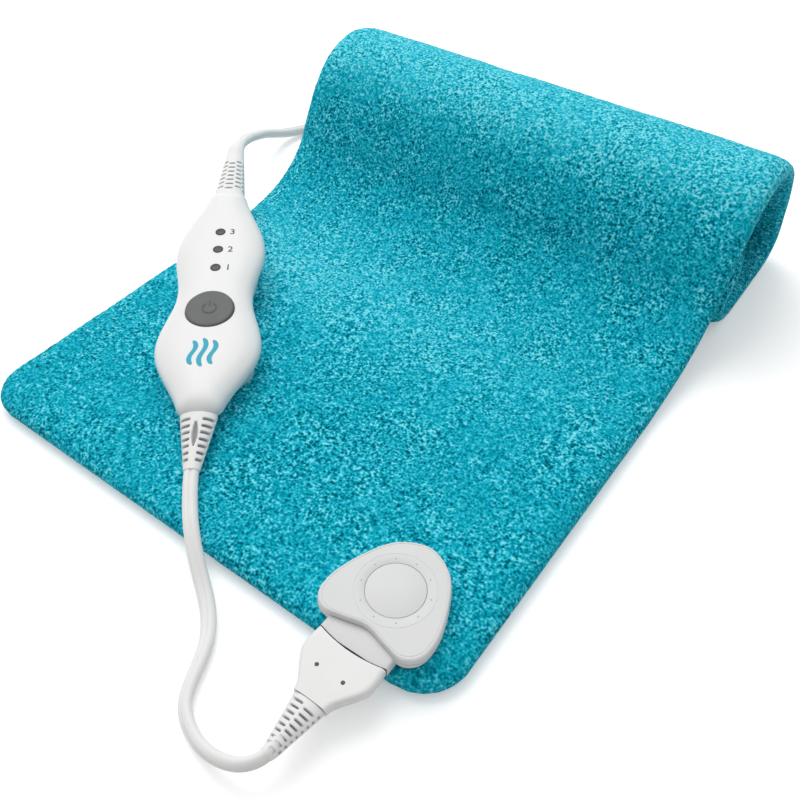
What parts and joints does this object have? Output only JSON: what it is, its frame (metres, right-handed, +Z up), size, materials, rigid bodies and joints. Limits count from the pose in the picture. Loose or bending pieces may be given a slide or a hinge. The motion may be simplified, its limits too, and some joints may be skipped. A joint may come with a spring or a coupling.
{
  "type": "heating pad with controller",
  "caption": "Plush heating pad, half rolled up, with a plug-in connector puck, a waisted in-line hand controller with a push button and indicator lenses, and a tied mains lead.",
  "frame": {"origin": "middle of the underside of the pad's flat stretch", "axes": "+X to the right along the front edge, +Y from the front edge towards the roll, +Z up"},
  "size_m": [0.3619, 0.5474, 0.0961],
  "materials": {
    "plush": "short soft pile",
    "felt": "plain",
    "insulation": "matte",
    "dark": "satin",
    "off_white": "satin",
    "white": "satin",
    "boot": "satin",
    "grey": "satin",
    "steel": "plain",
    "brass": "plain",
    "board": "matte",
    "lead_vinyl": "satin"
  },
  "bodies": {
    "pad": {"cover_face": "plush", "cover_back": "plush", "felt_upper": "felt", "felt_lower": "felt", "heating_wire": "insulation", "thermostat_right": "dark", "thermostat_left": "dark", "puck_base": "off_white", "puck_cap": "off_white", "puck_disc": "off_white", "puck_cap_screw": "steel", "puck_clamp_screw_1": "steel", "puck_clamp_screw_2": "steel", "puck_clamp_screw_3": "steel", "backing_plate": "off_white", "pin_live": "brass", "pin_sensor": "brass", "pin_neutral": "brass", "wire_tail_1": "insulation", "wire_tail_2": "insulation", "controller_top": "white", "controller_base": "white", "case_screw_1": "steel", "case_screw_2": "steel", "case_screw_3": "steel", "case_screw_4": "steel", "circuit_board": "board", "switch_body": "dark", "triac": "dark", "fuse": "off_white", "capacitor": "insulation", "control_chip": "dark", "terminal_lower": "grey", "core_lower": "insulation", "terminal_upper": "grey", "core_upper": "insulation", "lens_low": "dark", "lens_medium": "dark", "lens_high": "dark", "boot_lower": "boot", "boot_upper": "boot", "mains_plug_body": "white", "mains_blade_line": "steel", "mains_blade_neutral": "steel", "mains_plug_boot": "boot", "pad_lead": "lead_vinyl", "mains_lead": "lead_vinyl", "mains_hank": "lead_vinyl", "hank_tie": "dark"},
    "plug": {"plug_top": "white", "plug_bottom": "white", "plug_pin_left": "dark", "plug_pin_right": "dark", "contact_carrier": "grey", "contact_live": "brass", "contact_sensor": "brass", "contact_neutral": "brass", "plug_boot": "boot"},
    "button": {"power_button": "grey", "switch_plunger": "grey"}
  },
  "joints": [
    {"name": "plug_pull", "type": "slide", "parent": "pad", "child": "plug", "axis": [0.0087, -1, 0], "range_m": [0, 0.014], "deforming": ["pad_lead"]},
    {"name": "button_press", "type": "slide", "parent": "pad", "child": "button", "axis": [-0.0616, 0.0779, -0.9951], "range_m": [0, 0.0012], "stiffness_N_per_m": 1000}
  ]
}
